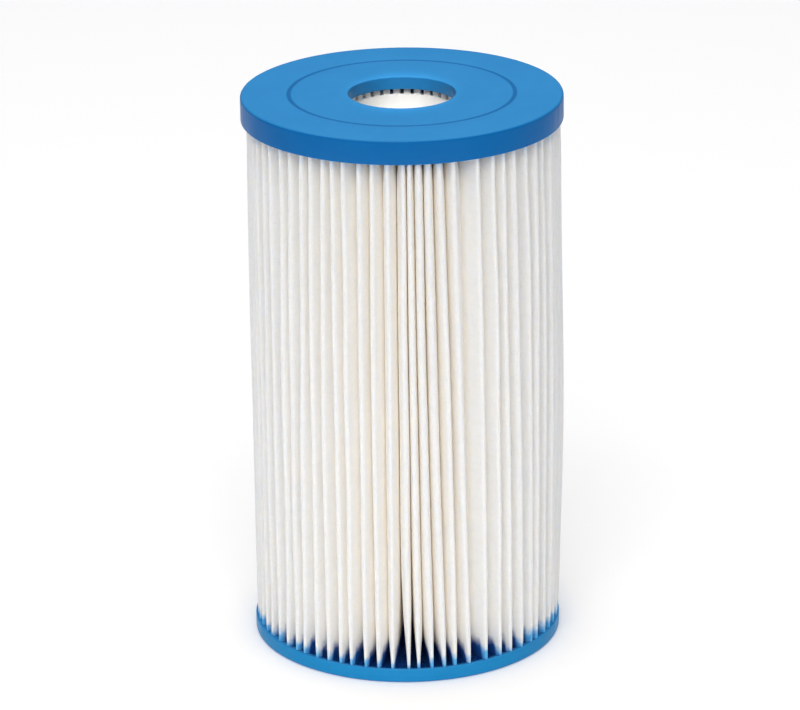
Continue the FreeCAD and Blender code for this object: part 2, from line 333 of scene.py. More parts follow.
def cloth_material():
    """White spunbonded polyester, dyed blue where the resin has soaked up into its ends. Painted
    shade makes the legs between the folds deep navy and tints the cloth blue just below the upper
    cap.
    """
    n = Nodes("filter_cloth")
    uv = n.coordinates("UV")
    solid = n.coordinates("Object")

    # White, with cream clumps and darker fibres that cross.
    fibres = n.noise(n.stretch(uv, (1, 0.12, 1)), 2600, 4, 0.7)
    cross_fibres = n.noise(n.stretch(uv, (0.15, 1, 1)), 1900, 4, 0.7)
    clumps = n.noise(uv, 260, 3, 0.6)
    cloudy = n.noise(solid, 34, 2)
    white = n.mix(cloudy, (0.97, 0.942, 0.89, 1), (0.98, 0.96, 0.922, 1))
    white = n.mix(n.remap(clumps, 0.35, 0.7, 0, 0.4), white, (0.92, 0.89, 0.84, 1))
    texture = n.maths("ADD", fibres, cross_fibres)
    white = n.mix(n.remap(texture, 0.9, 1.35, 0, 0.45), white, (0.87, 0.84, 0.79, 1))

    # Blue at both ends, up to a ragged edge. The legs between the folds take it up further and in
    # deep navy: soaking with painted shade in the gaps.
    height = n.upright(solid)
    ragged = n.remap(n.noise(uv, 320, 3), 0.3, 0.7, -0.0008, 0.0008)
    uneven_soak = n.remap(n.noise(uv, 45, 2), 0.3, 0.7, -0.002, 0.002)
    height = n.maths("ADD", height, n.maths("ADD", ragged, uneven_soak))
    from_axis = n.from_axis(solid)
    # Deeper in, the legs take the deep navy that is painted shade between the folds.
    inside = n.remap(from_axis, (CLOTH_OUTER - 3.4) * MM, (CLOTH_OUTER - 1.4) * MM, 1, 0)
    tips_low = n.remap(height, (BOTTOM_RIM + 0.5) * MM, (BOTTOM_RIM + 6.5) * MM, 1, 0)
    # Below the upper cap's rim this blue is painted shade under the cap.
    soak_and_shade_high = n.remap(height, (TOP_RIM - 6) * MM, (TOP_RIM + 2) * MM, 0, 0.5)
    legs_low = n.remap(height, (BOTTOM_RESIN + 5) * MM, (BOTTOM_RESIN + 12) * MM, 1, 0)
    legs_high = n.remap(height, (TOP_RESIN - 3) * MM, (TOP_RESIN - 1) * MM, 0, 1)
    tips = n.maths("MAXIMUM", tips_low, soak_and_shade_high)
    legs = n.maths("MAXIMUM", legs_low, legs_high)
    colour = n.mix(n.blend(inside, tips, legs), white, n.mix(inside, SOAKED_TIP, SOAKED_LEG_AND_SHADE))

    normal = n.bump(clumps, 0.00015, 0.6)
    normal = n.bump(texture, 0.0001, 0.8, normal)
    n.set(
        Base_Color=colour,
        Roughness=n.remap(texture, 0.6, 1.4, 0.72, 0.92),
        Normal=normal,
        Subsurface_Weight=1.0,
        Subsurface_Radius=(1.0, 0.9, 0.75),
        Subsurface_Scale=0.0015,
        Specular_IOR_Level=0.2,
    )
    return n.material


def cap_material(name, sides_low, sides_high):
    """Soft moulded plastic. Flat faces are matt, and painted a paler blue than the sides' two
    shades as painted light and sheen; the bore's wall is painted that paler blue as painted light,
    and the ring groove darker as painted shade.
    """
    n = Nodes(name)
    solid = n.coordinates("Object")
    # Faces that lie flat get the paler blue, painted light and sheen; upright sides stay darker.
    facing = n.upright(n.coordinates("Normal"))
    flat = n.remap(n.maths("ABSOLUTE", facing), 0.3, 0.95, 0, 1)
    from_axis = n.from_axis(solid)
    # The bore's wall is painted in the faces' paler blue: painted light.
    bore_painted_light = n.remap(from_axis, (BORE_RADIUS + 2) * MM, (BORE_RADIUS + 4) * MM, 0.7, 0)
    # The ring groove is painted a darker blue: painted shade in the recess.
    off_groove = n.maths("ABSOLUTE", n.maths("SUBTRACT", from_axis, GROOVE_RADIUS * MM))
    groove_painted_shade = n.remap(off_groove, 0.4 * MM, 1.4 * MM, 0.62, 0)
    cloudy = n.noise(solid, 45, 3, 0.55)
    peel = n.noise(solid, 900, 2)
    scuffs = n.noise(n.stretch(solid, (1, 1, 0.2)), 220, 5, 0.65)
    faces = n.mix(cloudy, *PAINTED_LIT_FACE_BLUES)
    sides = n.mix(bore_painted_light, n.mix(cloudy, sides_low, sides_high), faces)
    colour = n.mix(groove_painted_shade, n.mix(flat, sides, faces), (0.001, 0.085, 0.3, 1))
    n.set(
        Base_Color=colour,
        Roughness=n.blend(flat, n.remap(scuffs, 0.3, 0.75, 0.3, 0.44), 0.55),
        Normal=n.bump(peel, 0.00005, 0.35, n.bump(cloudy, 0.0004, 0.25)),
        Subsurface_Weight=0.12,
        Subsurface_Radius=(0.1, 0.5, 1.0),
        Subsurface_Scale=0.002,
        Specular_IOR_Level=0.08,
    )
    return n.material


def resin_material():
    """Cast resin of the caps' blue, glossy. Its deep navy between the folds is painted shade, and
    its paler blue at the brim is painted light.
    """
    n = Nodes("resin")
    solid = n.coordinates("Object")
    cloudy = n.noise(solid, 90, 3)
    bubbles = n.noise(solid, 700, 2)
    from_axis = n.from_axis(solid)
    # The brim's paler blue is painted light, and the deep navy between the folds is painted shade.
    brim = n.remap(from_axis, (CLOTH_OUTER - 4.5) * MM, (CLOTH_OUTER - 2.0) * MM, 0, 1)
    deep = n.mix(cloudy, (0.004, 0.05, 0.24, 1), (0.008, 0.08, 0.33, 1))
    n.set(
        Base_Color=n.mix(brim, deep, (0.035, 0.3, 0.66, 1)),
        Roughness=n.remap(bubbles, 0.3, 0.7, 0.25, 0.42),
        Normal=n.bump(bubbles, 0.0001, 0.4),
        Specular_IOR_Level=0.45,
    )
    return n.material


def cage_material():
    """White moulded plastic, satin."""
    n = Nodes("cage_plastic")
    solid = n.coordinates("Object")
    flow = n.noise(n.stretch(solid, (1, 1, 0.25)), 160, 3)
    peel = n.noise(solid, 1100, 2)
    n.set(
        Base_Color=n.mix(flow, (0.84, 0.835, 0.81, 1), (0.9, 0.895, 0.88, 1)),
        Roughness=n.remap(flow, 0.3, 0.7, 0.32, 0.46),
        Normal=n.bump(peel, 0.00004, 0.4),
        Specular_IOR_Level=0.5,
    )
    return n.material


def glue_material():
    """Dull off-white hot-melt glue."""
    n = Nodes("seam_glue")
    solid = n.coordinates("Object")
    lumps = n.noise(solid, 300, 3)
    n.set(
        Base_Color=n.mix(lumps, (0.83, 0.8, 0.68, 1), (0.9, 0.88, 0.8, 1)),
        Roughness=n.remap(lumps, 0.3, 0.7, 0.4, 0.6),
        Normal=n.bump(lumps, 0.0003, 0.5),
        Subsurface_Weight=0.2,
        Subsurface_Radius=(1.0, 0.8, 0.5),
        Subsurface_Scale=0.002,
    )
    return n.material


def floor_material():
    """Plain white studio paper, a little bright of itself so that it never goes grey."""
    n = Nodes("floor_paper")
    solid = n.coordinates("Object")
    grain = n.noise(solid, 400, 3)
    n.set(
        Base_Color=(0.95, 0.95, 0.95, 1),
        Roughness=n.remap(grain, 0.3, 0.7, 0.85, 0.95),
        Specular_IOR_Level=0.1,
        Emission_Color=(1, 1, 1, 1),
        Emission_Strength=0.1,
    )
    return n.material


# ------------ folded cloth


class Folds:
    """Where every fold of the cloth lies at each height.

    Folds are numbered round the ring from the seam, at the back, through the front to the seam
    again, which has the first and the last number. A level is a row of the mesh, at one height.
    tips and widths hold an outer fold's angle and half width, and reach its outermost radius, by
    fold and by level. A side is -1 for a fold's left leg and 1 for its right one.
    """

    def __init__(self, levels):
        self.levels = np.asarray(levels, float)
        self.random = np.random.default_rng(SEED)
        self.pitch = 2 * math.pi / PLEATS
        self.home = -math.pi + self.pitch * np.arange(PLEATS + 1)
        self.rise = (self.levels - CLOTH_LOW) / (CLOTH_HIGH - CLOTH_LOW)
        self.tips = self.find_tips()
        self.gap_closed = self.find_gap_closed()
        self.fullness = (self.gap_closed[:-1] + self.gap_closed[1:]) / 2
        self.reach = self.find_reach()
        self.root_radius = CLOTH_INNER + CLOTH / 2 + ROOT_FOLD
        self.root_half = self.root_radius * self.pitch / 2 - ROOT_FOLD
        self.widths = self.find_widths()
        self.bellies = self.find_bellies()
        self.bows = self.find_bows()

    def per_fold(self, spread):
        """A random number for each fold, the same for the seam's two ends."""
        made = self.random.normal(0, spread, PLEATS + 1)
        made[0] = made[-1] = 0
        return made[:, None]

    def wave(self, spread, turns):
        """A slow random wave up each fold."""
        phase = self.random.uniform(0, 2 * math.pi, (PLEATS + 1, 1))
        size = np.abs(self.per_fold(spread))
        return size * np.sin(2 * math.pi * turns * self.rise + phase)

    def away_from_seam(self):
        """0 at the seam, and 1 from a few folds on."""
        steps = np.minimum(np.arange(PLEATS + 1), PLEATS - np.arange(PLEATS + 1))
        return smooth(steps / SEAM_CALM)[:, None]

    def find_gap_closed(self):
        """How far each gap has closed, from 0 at the resin to 1. Gap i is left of fold i."""
        lengths = self.random.uniform(*OPENING_FOOT, PLEATS + 2)
        middles = np.degrees(self.tips[:-1, 0] + self.tips[1:, 0]) / 2
        for place, length in TALL_GAPS:
            lengths[1 + np.argmin(np.abs(middles - place))] = length
        from_foot = np.maximum(self.levels - BOTTOM_RESIN, 0)
        from_head = np.maximum(TOP_RESIN - self.levels, 0)
        foot = 1 - np.exp(-((from_foot / lengths[:, None]) ** OPENING_POWER))
        head = 1 - np.exp(-((from_head / OPENING_HEAD) ** OPENING_POWER))
        return foot * head

    def find_reach(self):
        """Outermost radius of each fold."""
        aside = 1 + BULGE_ASIDE * np.sin(self.home)[:, None]
        bulge = BULGE * aside * np.sin(math.pi * np.clip(self.rise, 0, 1)) ** BULGE_POWER
        rough = self.per_fold(REACH_UNEVEN) + self.wave(*REACH_WAVE)
        return CLOTH_OUTER + (bulge + rough * self.fullness) * self.away_from_seam()

    def find_tips(self):
        """Angle of each outer fold: its even place, and how far it stands aside."""
        rise = self.rise[None, :]
        drift = np.zeros((PLEATS + 1, len(self.levels)))
        for place, left, right, foot, top in ASIDE:
            away = np.degrees(self.home) - place
            share = np.exp(-((away / np.where(away < 0, left, right)) ** 2))[:, None]
            drift += np.radians(share * (foot + (top - foot) * rise**ASIDE_POWER))
        drift += self.per_fold(math.radians(DRIFT_FOOT)) * (1 - rise)
        drift += self.per_fold(math.radians(DRIFT_TOP)) * rise
        drift += self.per_fold(math.radians(DRIFT_MIDDLE)) * 4 * rise * (1 - rise)
        wave_size, wave_turns = DRIFT_WAVE
        drift += self.wave(math.radians(wave_size), wave_turns)
        tips = self.home[:, None] + drift * self.away_from_seam()
        return self.spread_out(tips)

    def spread_out(self, tips):
        """Pushes neighbours apart, a little at a time, until each fold has room. The seam stays."""
        least = (2 * TIP_POTTED + CLOTH + TIP_GAP) / CLOTH_OUTER
        for _ in range(SPREAD_ROUNDS):
            short = np.maximum(least - np.diff(tips, axis=0), 0) / 2
            tips[:-1] -= short
            tips[1:] += short
            tips[0] = self.home[0]
            tips[-1] = self.home[-1]
        return tips

    def find_widths(self):
        """Half width of each outer fold, as far as its neighbours leave room."""
        gaps = np.diff(self.tips, axis=0) * CLOTH_OUTER
        room = np.minimum(np.vstack([gaps[:1], gaps]), np.vstack([gaps, gaps[-1:]]))
        free = self.random.uniform(*TIP_FREE, (PLEATS + 1, 1))
        full = np.minimum(free, (room - CLOTH - TIP_GAP) / 2)
        return TIP_POTTED + np.maximum(self.smoothed(full) - TIP_POTTED, 0) * self.fullness

    def find_bellies(self):
        """Half widths of each fold's left and right leg where the fold is widest."""
        radius = self.root_radius + (CLOTH_OUTER - self.root_radius) * BELLY_AT
        middles = self.home[:, None] + (self.tips - self.home[:, None]) * BELLY_AT
        spacing = np.diff(middles, axis=0) * radius
        gap = self.random.uniform(*BELLY_GAP, (PLEATS, 1))
        half = self.smoothed((spacing - gap - CLOTH) / 2)
        return {-1: np.vstack([half[:1], half]), 1: np.vstack([half, half[-1:]])}

    def find_bows(self):
        """How far each fold bows sideways. Neighbours bow alike, and the front one doesn't."""
        swing = -BOW * np.sin(self.home * BOW_TURNS)[:, None]
        return swing * self.fullness * self.away_from_seam()

    @staticmethod
    def smoothed(rows):
        """Each row averaged over its neighbouring levels."""
        kernel = np.array([1, 2, 3, 2, 1]) / 9
        padded = np.pad(rows, ((0, 0), (2, 2)), mode="edge")
        return np.stack([np.convolve(row, kernel, "valid") for row in padded])

    def tip_size(self, fold, level):
        """An outer fold's half width and depth, and the radius at which it starts."""
        width = self.widths[fold, level]
        depth = TIP_DEPTH * width
        return width, depth, self.reach[fold, level] - CLOTH / 2 - depth

    def leg(self, fold, level, side, share):
        """Radius and angle of a point on a leg: share is 0 at the roots and 1 at the outer fold."""
        width, _, tip_start = self.tip_size(fold, level)
        radius = self.root_radius + (tip_start - self.root_radius) * share
        flat = self.root_half + (width - self.root_half) * share
        flat_belly = self.root_half + (width - self.root_half) * BELLY_AT
        swelling = max(self.bellies[side][fold, level] - flat_belly, 0)
        swelling *= self.gap_closed[fold + (side > 0), level]
        half = flat + swelling * self.belly_shape(share)
        return radius, self.middle(fold, level, share, radius) + side * half / radius

    def middle(self, fold, level, share, radius):
        """Angle of a fold's own middle, bowed sideways between the inner and the outer folds."""
        straight = self.home[fold] + (self.tips[fold, level] - self.home[fold]) * share
        return straight + self.bows[fold, level] * math.sin(math.pi * share) / radius

    @staticmethod
    def belly_shape(share):
        """How much of its swelling a leg has, from 0 at both ends to 1 where it is widest."""
        if share < BELLY_AT:
            return smooth(share / BELLY_AT)
        return 1 - ((share - BELLY_AT) / (1 - BELLY_AT)) ** 2

    def edge(self, fold, level, side, radius):
        """Angle where one side of a fold crosses a radius, or past its tip, the tip's angle."""
        width, depth, tip_start = self.tip_size(fold, level)
        share = (radius - self.root_radius) / (tip_start - self.root_radius)
        if fold in (0, PLEATS):
            return self.home[fold] + side * self.root_half / radius
        if share <= 0:
            return self.home[fold] + side * self.root_half / self.root_radius
        if share < 1:
            return self.leg(fold, level, side, share)[1]
        half = width * math.sqrt(max(0, 1 - ((radius - tip_start) / depth) ** 2))
        return self.tips[fold, level] + side * half / radius

    def seam_leg(self, fold, side, share):
        """A point on one of the seam's two straight legs: share is 1 at the sheet's cut edge."""
        radius = self.root_radius + (SEAM_REACH - self.root_radius) * share
        return radius, self.home[fold] + side * self.root_half / radius

    def root(self, fold, turn):
        """A point on the inner fold that follows a fold: turn runs from 0 to pi."""
        radius = self.root_radius - ROOT_FOLD * math.sin(turn)
        middle = self.home[fold] + self.pitch / 2
        return radius, middle - ROOT_FOLD * math.cos(turn) / radius

    def tip(self, fold, level, turn):
        """A point on an outer fold: turn runs from 0 to pi."""
        width, depth, tip_start = self.tip_size(fold, level)
        radius = tip_start + depth * math.sin(turn)
        return radius, self.tips[fold, level] - width * math.cos(turn) / radius

    def section(self, level):
        """The whole sheet's middle line at one level, from one cut edge round to the other."""
        root_turns = np.linspace(0, math.pi, ROOT_POINTS + 2)[1:-1]
        tip_turns = np.linspace(0, math.pi, TIP_POINTS)
        seam_shares = LEG_SHARES + (1,)
        points = [self.seam_leg(0, 1, share) for share in seam_shares[::-1]]
        for fold in range(1, PLEATS):
            points += [self.root(fold - 1, turn) for turn in root_turns]
            points += [self.leg(fold, level, -1, share) for share in LEG_SHARES]
            points += [self.tip(fold, level, turn) for turn in tip_turns]
            points += [self.leg(fold, level, 1, share) for share in LEG_SHARES[::-1]]
        points += [self.root(PLEATS - 1, turn) for turn in root_turns]
        points += [self.seam_leg(PLEATS, -1, share) for share in seam_shares]
        return np.array(points)


def cloth_levels():
    """Heights of the mesh's rows: close together where the folds open out, near the ends."""
    (foot_height, foot_rows), (head_height, head_rows) = FOOT_ZONE, HEAD_ZONE
    foot = CLOTH_LOW + foot_height * np.linspace(0, 1, foot_rows) ** ROW_GROWTH
    head = CLOTH_HIGH - head_height * np.linspace(0, 1, head_rows) ** ROW_GROWTH
    middle = np.linspace(foot[-1], head[-1], MIDDLE_ROWS + 2)[1:-1]
    return np.concatenate([foot, middle, head[::-1]])


def make_cloth():
    """The filter cloth: one folded sheet, thickened, with texture coordinates as if laid flat."""
    folds = Folds(cloth_levels())
    points = []
    for level, height in enumerate(folds.levels):
        x, y = polar(*folds.section(level).T)
        points.append(np.stack([x, y, np.full_like(x, height)], 1))
    points = np.array(points)
    rows, columns = points.shape[:2]
    steps = np.linalg.norm(np.diff(points, axis=1), axis=2).mean(axis=0)
    along = np.concatenate([[0], np.cumsum(steps)])
    uv = np.stack(np.broadcast_arrays(along[None, :], points[:, :, 2]), 2) * MM
    faces = grid_faces(rows, columns)
    obj = mesh_object("pleated_cloth", points.reshape(-1, 3), faces, uv.reshape(-1, 2))
    thicken = obj.modifiers.new("thickness", "SOLIDIFY")
    thicken.thickness = CLOTH * MM
    thicken.offset = 0
    thicken.use_even_offset = True
    apply_modifiers(obj)
    obj.data.materials.append(cloth_material())
    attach(obj, "root")
    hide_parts("pleated_media")


# ------------ turned pieces

SEGMENTS = 288  # steps round a turned piece
LONGEST_SIDE = 6.0  # of a turned piece's section
SHRINKAGE = 0.06  # size of a slow ripple in the caps' outer radius
RIPPLES = ((1, 3, 0.7), (0.6, 5, 2.1), (0.4, 8, 4.0))  # its waves: share, turns and phase


def arc(centre, radius, start, end, points):
    """Points on an arc in the (radius, height) plane, with angles in degrees."""
    turns = np.radians(np.linspace(start, end, points))
    return [(centre[0] + radius * math.cos(t), centre[1] + radius * math.sin(t)) for t in turns]


def subdivide(profile, longest):
    """Adds points to a closed profile so that no side is longer than longest."""
    made = []
    for here, there in zip(profile, profile[1:] + profile[:1]):
        pieces = max(1, math.ceil(math.dist(here, there) / longest))
        for step in range(pieces):
            share = step / pieces
            made.append(tuple(a + (b - a) * share for a, b in zip(here, there)))
    return made


def turned(name, profile):
    """A closed (radius, height) profile turned round the axis, not quite in a circle."""
    profile = np.array(subdivide(profile, LONGEST_SIDE))
    phi = np.linspace(0, 2 * math.pi, SEGMENTS, endpoint=False)
    radius = np.repeat(profile[None, :, 0], SEGMENTS, 0)
    height = np.repeat(profile[None, :, 1], SEGMENTS, 0)
    ripple = sum(share * np.sin(turns * phi + phase) for share, turns, phase in RIPPLES)
    radius = radius * (1 + SHRINKAGE * ripple[:, None] / TOP_RADIUS)
    x, y = polar(radius, phi[:, None])
    points = np.stack([x, y, height], 2).reshape(-1, 3)
    faces = grid_faces(SEGMENTS, len(profile), closed_rows=True, closed_columns=True)
    obj = mesh_object(name, points, faces)
    sharpen(obj, 40)
    return obj


# Each cap's radii outside and in its cup, and the heights of its flat face, its plate, the resin's
# free face and its rim. inward is the direction from its face into the cartridge.
CAPS = {
    "top": {
        "radius": TOP_RADIUS,
        "cup_radius": TOP_CUP_RADIUS,
        "face": HEIGHT,
        "plate": TOP_PLATE,
        "resin": TOP_RESIN,
        "rim": TOP_RIM,
        "rim_round": 0.35,
        "inward": -1,
    },
    "bottom": {
        "radius": BOTTOM_RADIUS,
        "cup_radius": BOTTOM_CUP_RADIUS,
        "face": 0.0,
        "plate": BOTTOM_PLATE,
        "resin": BOTTOM_RESIN,
        "rim": BOTTOM_RIM,
        "rim_round": 0.7,
        "inward": 1,
    },
}
GROOVE_RADIUS = 50.0  # of the ring groove in a flat face
GROOVE_DEPTH = 0.4
# Half the groove's section, from lip to floor: distance from its middle, and share of its depth.
GROOVE = ((1.2, 0.0), (0.95, 0.1), (0.7, 0.35), (0.4, 0.8), (0.15, 1.0))
COLLAR_DEPTH = 5.8  # how deep the collar round the bore goes in from the flat face
COLLAR_WALL = 1.85
COLLAR_ROUND = 0.3  # rounding of the collar's end
OUTER_ROUND = 1.3  # rounding between a flat face and the side
BORE_ROUND = 0.55  # and between a flat face and the bore


def cap_profile(side):
    """A cap's section, drawn as depth in from its outer face."""
    cap = CAPS[side]
    outer = cap["radius"]
    inner = cap["cup_radius"]
    plate = abs(cap["plate"] - cap["face"])
    rim = abs(cap["rim"] - cap["face"])
    rim_round = cap["rim_round"]
    collar = BORE_RADIUS + COLLAR_WALL
    collar_turn = COLLAR_DEPTH - COLLAR_ROUND

    # The flat face, from the bore out past the groove, and round to the side.
    shape = arc((BORE_RADIUS + BORE_ROUND, BORE_ROUND), BORE_ROUND, 180, 270, 7)
    shape += [(GROOVE_RADIUS - half, share * GROOVE_DEPTH) for half, share in GROOVE]
    shape += [(GROOVE_RADIUS + half, share * GROOVE_DEPTH) for half, share in GROOVE[::-1]]
    shape += arc((outer - OUTER_ROUND, OUTER_ROUND), OUTER_ROUND, 270, 360, 9)

    # The rim, down the cup's inside, across its plate, and round the collar back to the bore.
    shape += arc((outer - rim_round, rim - rim_round), rim_round, 0, 90, 6)
    shape += [(inner, rim), (inner, plate)]
    shape += [(collar, plate), (collar, collar_turn), (collar - COLLAR_ROUND, COLLAR_DEPTH)]
    shape += arc((BORE_RADIUS + COLLAR_ROUND, collar_turn), COLLAR_ROUND, 90, 180, 4)
    return [(radius, cap["face"] + cap["inward"] * depth) for radius, depth in shape]


def make_cap(side, material):
    """One end cap. The upper one's section is drawn mirrored, which turns its faces inside out."""
    obj = turned(f"cap_{side}", cap_profile(side))
    if side == "top":
        obj.data.flip_normals()
    obj.data.materials.append(material)
    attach(obj, "root")
    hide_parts(f"end_cap_{side}")


# ------------ resin beds

RESIN_CLIMB = 0.9  # how far the resin climbs up the cloth
CLIMB_WIDTH = 0.7  # and over what distance
BRIM_CLIMB = 1.75  # how far the resin climbs the cap's side
BRIM_SLOPE = 0.22  # how steeply it falls away from the side
BRIM_WIDTH = (3.0, 6.0)  # how far from the side it starts and ends dropping to the bed's level
RESIN_BITE = 0.1  # how far the bed reaches into the cap's side, so that no slit shows
RESIN_ACROSS = 9  # points across the resin between two folds
RESIN_INSIDE = 4  # and inside a fold

# The bed's rings of points: even ones from the cage out, then closer ones near the folds' tips. The
# last even one and the close ones are distances in from the cloth's outside.
EVEN_RINGS = 16
EVEN_RINGS_END = 4
CLOSE_RINGS = (3.2, 2.4, 1.7, 1.2, 0.9, 0.6, 0.3, 0.1)


def resin_radii(side):
    """Radii of a bed's rings, from the cage out to the cap's side."""
    end = CAPS[side]["cup_radius"] + RESIN_BITE
    even = np.linspace(CAGE_OUTER, CLOTH_OUTER - EVEN_RINGS_END, EVEN_RINGS)
    close = CLOTH_OUTER - np.array(CLOSE_RINGS)
    return np.concatenate([even, close, [end - RESIN_BITE, end]])


def resin_ring(folds, level, radius):
    """Angles of a ring's points, and how far each stands from the nearest cloth."""
    angles = []
    clear = []
    for fold in range(PLEATS):
        left = folds.edge(fold, level, 1, radius)
        right = folds.edge(fold + 1, level, -1, radius)
        far = folds.edge(fold + 1, level, 1, radius)
        gap = np.linspace(0, 1, RESIN_ACROSS)
        angles.append(left + (right - left) * gap)
        clear.append(np.minimum(gap, 1 - gap) * (right - left) * radius - CLOTH / 2)
        pocket = np.linspace(0, 1, RESIN_INSIDE + 2)[1:-1]
        angles.append(right + (far - right) * pocket)
        clear.append(np.zeros(RESIN_INSIDE))
    return np.concatenate(angles), np.maximum(np.concatenate(clear), 0)


def make_resin(side, material):
    """A bed whose free face climbs each leg of the cloth and the cap's side."""
    cap = CAPS[side]
    folds = Folds(cloth_levels())
    level = int(np.argmin(np.abs(folds.levels - cap["resin"])))
    radii = resin_radii(side)
    points = []
    for radius in radii:
        phi, clear = resin_ring(folds, level, radius)
        from_side = radii[-1] - radius
        drop = (from_side - BRIM_WIDTH[0]) / (BRIM_WIDTH[1] - BRIM_WIDTH[0])
        brim = (BRIM_CLIMB - BRIM_SLOPE * from_side) * (1 - smooth(drop))
        climb = np.maximum(RESIN_CLIMB * np.exp(-clear / CLIMB_WIDTH), brim)
        x, y = polar(radius, phi)
        points.append(np.stack([x, y, cap["resin"] + cap["inward"] * climb], 1))
    for ring in (points[-1], points[0]):
        under = ring.copy()
        under[:, 2] = cap["plate"]
        points.append(under)
    columns = len(points[0])
    faces = grid_faces(len(points), columns, closed_rows=True, closed_columns=True)
    obj = mesh_object(f"resin_{side}", np.concatenate(points), faces)
    sharpen(obj)
    obj.data.materials.append(material)
    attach(obj, "root")
    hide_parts(f"resin_bed_{side}")


# ------------ cage

CAGE_WALL = (CAGE_INNER, CAGE_OUTER)
CAGE_COLUMNS = 12  # windows round the cage
CAGE_ROWS = 6  # rows of windows in each half
WINDOW_WIDTH = 10.8
WINDOW_HEIGHT = 12.6
WINDOW_ROUND = 1.8  # a window's corners
CAGE_RING = 4.2  # height of the wall between two rows of windows
CELL_HEIGHT = WINDOW_HEIGHT + CAGE_RING  # of a window with the wall about it
CAGE_BLANK = 4.0  # height of the blank wall each side of the joint
SLOTS = 36  # small slots round each end of the cage, which the resin grips
SLOT_PITCH = 2 * math.pi / SLOTS  # the angle from one to the next
SLOT_WIDTH = 1.8
SLOT_HEIGHT = 4.2
SLOT_REACH = 2.8  # a slot's open end past the resin's free face
SOCKET_RADIUS = 27.15  # inside of the lower half's socket
SPIGOT_RADIUS = 27.05  # outside of the upper half's spigot
CAGE_STEP = 0.2  # height over which the wall changes to a socket or a spigot
CAGE_EDGE = 0.3  # rounding of the moulding's edges


class TubeWall:
    """A tube's wall in faces. A corner has an angle, a height, and an inner and an outer radius."""

    def __init__(self):
        self.corners = {}
        self.faces = []

    def corner(self, phi, height, inner=CAGE_INNER, outer=CAGE_OUTER):
        """The corner's number: the same place always gets the same one."""
        key = (round(math.degrees(phi), 2) % 360, round(height, 2))
        if key not in self.corners:
            self.corners[key] = (len(self.corners), phi, height, inner, outer)
        return self.corners[key][0]

    def open_edges(self):
        """Sides that only one face has: the windows' rims and the tube's ends."""
        sides = {}
        for face in self.faces:
            for here, there in zip(face, face[1:] + face[:1]):
                sides.setdefault(frozenset((here, there)), []).append((here, there))
        return [uses[0] for uses in sides.values() if len(uses) == 1]

    def solid(self, name):
        """The wall as an object with an inner and an outer surface, its edges a little rounded."""
        _, phi, height, inner, outer = np.array(list(self.corners.values())).T
        surfaces = [np.stack([*polar(radius, phi), height], 1) for radius in (outer, inner)]
        count = len(phi)
        faces = list(self.faces)
        faces += [tuple(count + k for k in face[::-1]) for face in self.faces]
        faces += [(b, a, count + a, count + b) for a, b in self.open_edges()]
        obj = mesh_object(name, np.concatenate(surfaces), faces)
        bevel = obj.modifiers.new("edges", "BEVEL")
        bevel.width = CAGE_EDGE * MM
        bevel.segments = 2
        bevel.limit_method = "ANGLE"
        bevel.angle_limit = math.radians(SHARP)
        apply_modifiers(obj)
        sharpen(obj)
        return obj


def cell_breaks():
    """Places across half a cell, from its border inwards. Four are sides or middles of slots."""
    half_slot = SLOT_WIDTH / 2
    slot_pitch = SLOT_PITCH * CAGE_OUTER
    border = math.pi * CAGE_OUTER / CAGE_COLUMNS
    return [border, slot_pitch + half_slot, slot_pitch - half_slot, slot_pitch / 2, half_slot]


def window_cell():
    """Matching points round a window with round corners and round the cell of wall about it.

    The upper right quarter is drawn first. There the window's corner ends over the third break, and
    its straight edge is shared out as the breaks after it are.
    """
    breaks = cell_breaks()
    centre = (WINDOW_WIDTH / 2 - WINDOW_ROUND, WINDOW_HEIGHT / 2 - WINDOW_ROUND)
    high = CELL_HEIGHT / 2
    rim = arc(centre, WINDOW_ROUND, 0, 90, 5)
    rim += [(centre[0] * x / breaks[2], WINDOW_HEIGHT / 2) for x in breaks[3:]]
    border = [(breaks[0], centre[1]), (breaks[0], (centre[1] + high) / 2)]
    border += [(x, high) for x in breaks]
    quarter = np.array(list(zip(rim, border)))
    turned_back = quarter[::-1]
    quarters = [quarter, turned_back * (-1, 1), quarter * (-1, -1), turned_back * (1, -1)]
    return np.concatenate(quarters)


def add_cell(wall, pairs, phi, height):
    """One window's cell: faces between the window's rim and the cell's border."""
    rim = [wall.corner(phi + x / CAGE_OUTER, height + z) for x, z in pairs[:, 0]]
    border = [wall.corner(phi + x / CAGE_OUTER, height + z) for x, z in pairs[:, 1]]
    for k in range(len(pairs)):
        after = (k + 1) % len(pairs)
        wall.faces.append((rim[after], rim[k], border[k], border[after]))


def in_slot(phi, height, slots):
    """Whether a place on the wall lies in a slot. slots holds their lowest and highest height."""
    aside = abs((phi + SLOT_PITCH / 2) % SLOT_PITCH - SLOT_PITCH / 2) * CAGE_OUTER
    return aside < SLOT_WIDTH / 2 and slots[0] < height < slots[1]


def add_rings(wall, angles, rings, slots):
    """Blank wall between rings, each a height, an inner and an outer radius, lowest first."""
    for low, high in zip(rings, rings[1:]):
        for phi, following in zip(angles, angles[1:] + [angles[0] + 2 * math.pi]):
            if in_slot((phi + following) / 2, (low[0] + high[0]) / 2, slots):
                continue
            corners = ((phi, low), (following, low), (following, high), (phi, high))
            wall.faces.append(tuple(wall.corner(angle, *ring) for angle, ring in corners))


